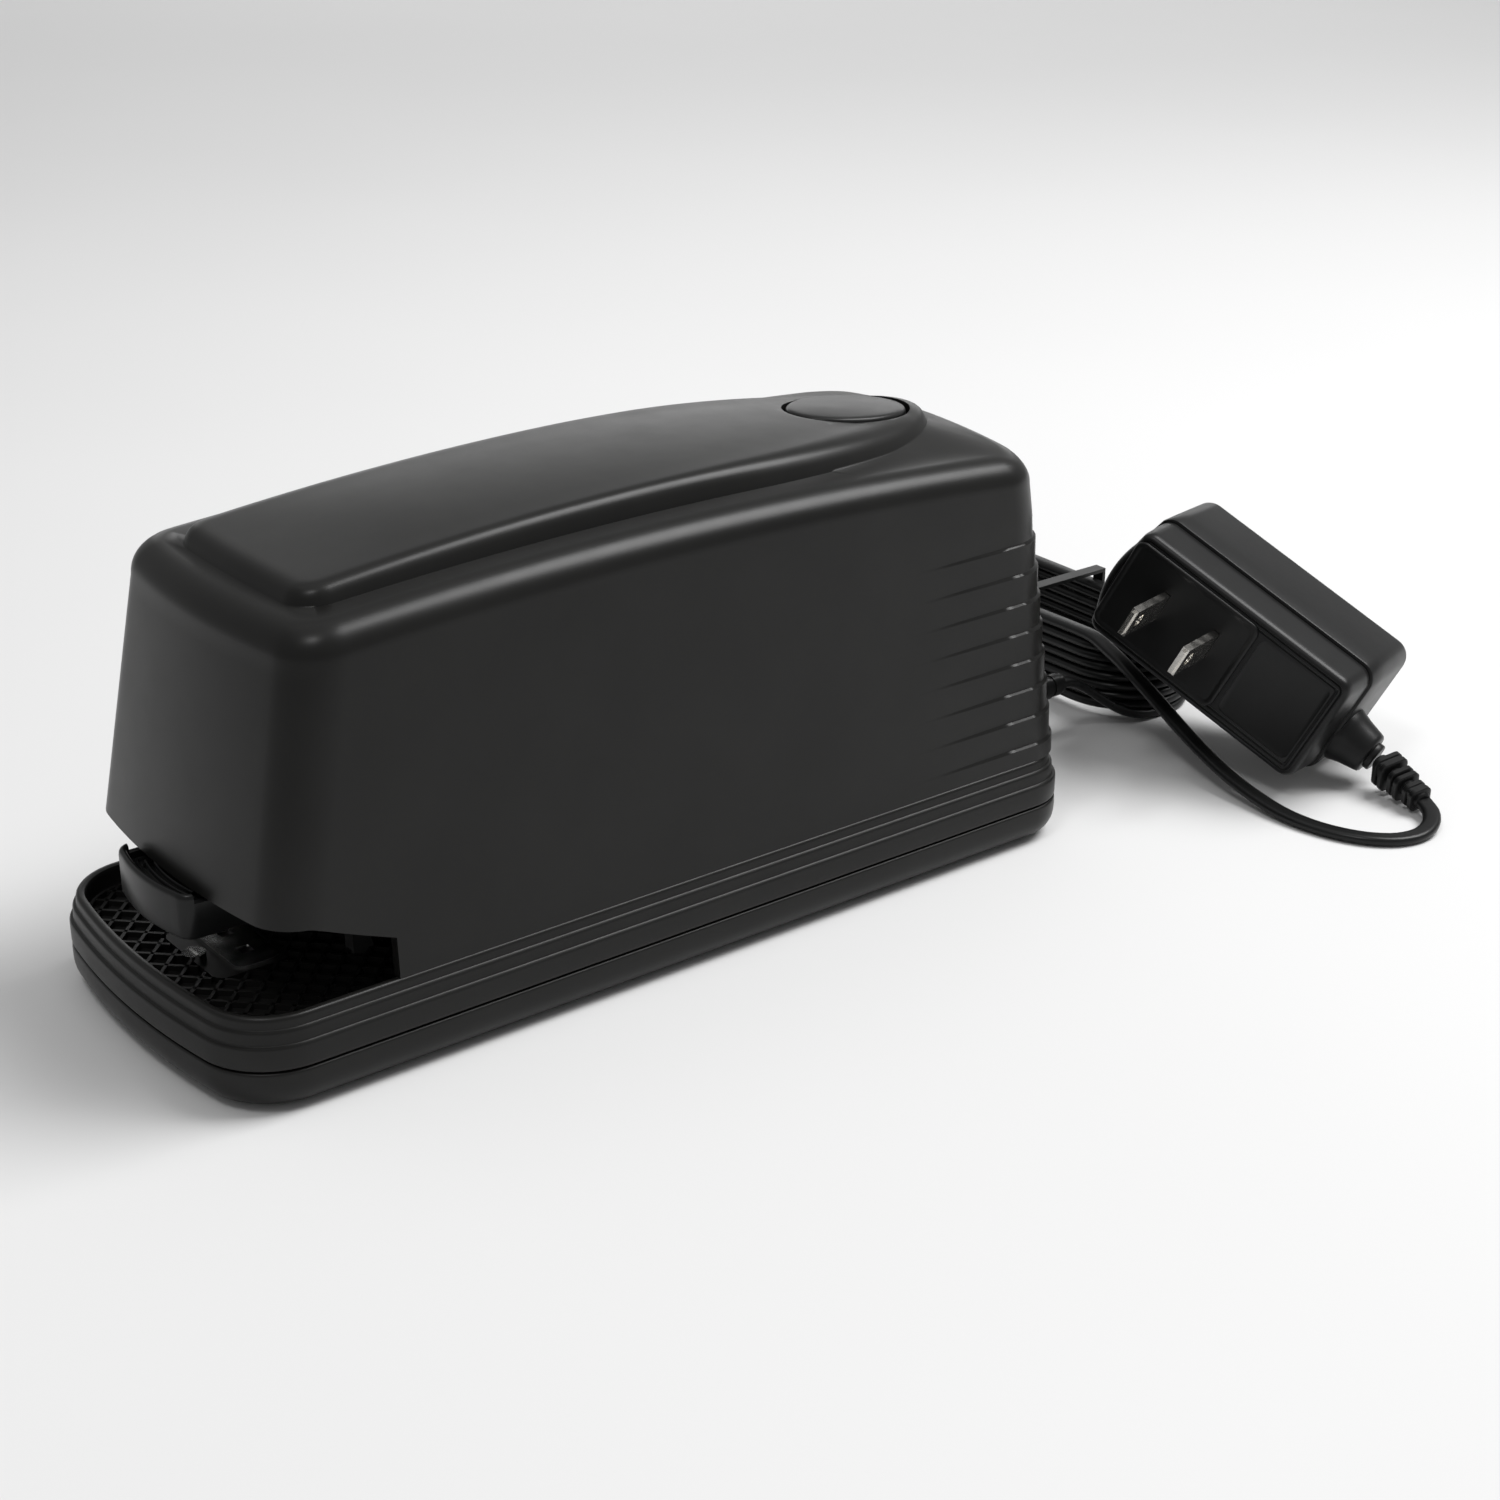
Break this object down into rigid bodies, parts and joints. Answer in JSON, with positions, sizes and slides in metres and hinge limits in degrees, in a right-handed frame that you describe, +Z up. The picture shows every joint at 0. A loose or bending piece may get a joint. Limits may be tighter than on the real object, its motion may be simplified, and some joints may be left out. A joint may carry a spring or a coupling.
{
  "type": "electric stapler",
  "caption": "Desktop electric stapler with a long arched cover, open paper throat, ribbed anvil deck, oval release button and a plug-in mains adapter on a thin lead.",
  "frame": {"origin": "centre of the base on the surface it stands on, without the plug, lead and adapter", "axes": "+Z up, -Y towards the stapling end, +X to the right when seen from the stapling end's user side"},
  "size_m": [0.1508, 0.2631, 0.0854],
  "materials": {
    "base_black": "fine satin moulded texture",
    "cover_black": "smooth satin-gloss moulding",
    "button_black": "smooth satin",
    "nose_black": "satin",
    "rubber": "matt",
    "zinc_steel": "zinc plated sheet",
    "bright_steel": "bright nickel",
    "brass": "machined",
    "blade_nickel": "nickel plated, lightly brushed",
    "white_nylon": "natural nylon",
    "dark_plastic": "moulded",
    "board_green": "coated laminate",
    "cord_black": "soft vinyl, slight sheen",
    "adapter_black": "fine spark-eroded texture"
  },
  "bodies": {
    "base": {"base_lower": "base_black", "base_upper": "base_black", "rubber_feet": "rubber", "base_screws": "bright_steel", "anvil": "bright_steel", "anvil_screw": "bright_steel", "cover": "cover_black", "cover_screws": "bright_steel", "chassis_left": "zinc_steel", "chassis_right": "zinc_steel", "chassis_spacers": "bright_steel", "button_guide": "zinc_steel", "motor_can": "zinc_steel", "motor_endcap": "white_nylon", "gear_studs": "bright_steel", "head_pin": "bright_steel", "arm_pin": "bright_steel", "latch_pin": "bright_steel", "trigger_pin": "bright_steel", "circuit_board": "board_green", "board_parts": "dark_plastic", "trigger_switch": "dark_plastic", "dc_jack": "dark_plastic", "head_spring": "bright_steel", "button_spring": "bright_steel", "dc_plug": "adapter_black", "plug_relief": "cord_black", "cord_lead_plug": "cord_black", "cord_hank": "cord_black", "cord_tie": "cord_black", "cord_lead_adapter": "cord_black", "adapter_front": "adapter_black", "adapter_back": "adapter_black", "adapter_blades": "blade_nickel", "adapter_board": "board_green", "adapter_boot": "cord_black", "adapter_relief": "cord_black"},
    "head": {"head_frame": "zinc_steel", "driver_guide": "nose_black"},
    "magazine": {"magazine_channel": "zinc_steel", "magazine_core": "zinc_steel", "magazine_nose": "nose_black", "spring_rod": "bright_steel", "staple_strip": "bright_steel", "pusher_spring": "bright_steel"},
    "pusher": {"pusher": "dark_plastic"},
    "driver": {"driver_blade": "bright_steel", "driver_carrier": "zinc_steel"},
    "arm": {"drive_arm": "zinc_steel"},
    "roller": {"arm_roller": "dark_plastic"},
    "pinion": {"motor_pinion": "brass"},
    "first_gear": {"first_gear": "white_nylon"},
    "second_gear": {"second_gear": "white_nylon"},
    "cam_gear": {"cam_gear": "white_nylon"},
    "button": {"release_button": "button_black"},
    "latch": {"latch_lever": "zinc_steel"},
    "trigger": {"paper_trigger": "dark_plastic"}
  },
  "joints": [
    {"name": "head_hinge", "type": "hinge", "parent": "base", "child": "head", "pos_m": [0, 0.024, 0.028], "axis": [1, 0, 0], "range_deg": [0, 4.8], "stiffness_Nm_per_rad": 0.6, "springref_deg": -17.19, "deforming": ["head_spring"]},
    {"name": "driver_slide", "type": "slide", "parent": "head", "child": "driver", "axis": [0, 0, -1], "range_m": [0, 0.0074]},
    {"name": "arm_hinge", "type": "hinge", "parent": "base", "child": "arm", "pos_m": [0, -0.008, 0.062], "axis": [1, 0, 0], "range_deg": [0, 14.6]},
    {"name": "roller_spin", "type": "hinge", "parent": "arm", "child": "roller", "pos_m": [0.0054, 0.015, 0.0633], "axis": [1, 0, 0], "continuous": true},
    {"name": "magazine_slide", "type": "slide", "parent": "head", "child": "magazine", "axis": [0, 1, 0], "range_m": [-0.06, 0]},
    {"name": "pusher_slide", "type": "slide", "parent": "magazine", "child": "pusher", "axis": [0, 1, 0], "range_m": [0, 0.024], "stiffness_N_per_m": 20, "springref_m": -0.06, "deforming": ["pusher_spring"]},
    {"name": "first_gear_spin", "type": "hinge", "parent": "base", "child": "first_gear", "pos_m": [0.0205, 0.052, 0.0483], "axis": [1, 0, 0], "continuous": true},
    {"name": "pinion_spin", "type": "hinge", "parent": "base", "child": "pinion", "pos_m": [0, 0.066, 0.034], "axis": [1, 0, 0], "continuous": true},
    {"name": "second_gear_spin", "type": "hinge", "parent": "base", "child": "second_gear", "pos_m": [0.024, 0.035, 0.0394], "axis": [1, 0, 0], "continuous": true},
    {"name": "cam_gear_spin", "type": "hinge", "parent": "base", "child": "cam_gear", "pos_m": [0, 0.015, 0.0476], "axis": [1, 0, 0], "continuous": true},
    {"name": "button_press", "type": "slide", "parent": "base", "child": "button", "axis": [0, 0, -1], "range_m": [0, 0.003], "stiffness_N_per_m": 300, "springref_m": -0.006, "deforming": ["button_spring"]},
    {"name": "latch_swing", "type": "hinge", "parent": "base", "child": "latch", "pos_m": [-0.0056, 0.044, 0.056], "axis": [-1, 0, 0], "range_deg": [0, 9.5]},
    {"name": "trigger_swing", "type": "hinge", "parent": "base", "child": "trigger", "pos_m": [0.014, -0.055, 0.0056], "axis": [-1, 0, 0], "range_deg": [0, 18], "stiffness_Nm_per_rad": 0.002, "springref_deg": -22.92}
  ],
  "couplings": [
    {"joint": "driver_slide", "follows": "head_hinge", "m_per_rad": 0.088212},
    {"joint": "arm_hinge", "follows": "head_hinge", "ratio": 3.0396},
    {"joint": "pinion_spin", "follows": "first_gear_spin", "ratio": -4},
    {"joint": "second_gear_spin", "follows": "first_gear_spin", "ratio": -0.33333},
    {"joint": "cam_gear_spin", "follows": "first_gear_spin", "ratio": 0.095238},
    {"joint": "latch_swing", "follows": "button_press", "rad_per_m": 55.211}
  ]
}
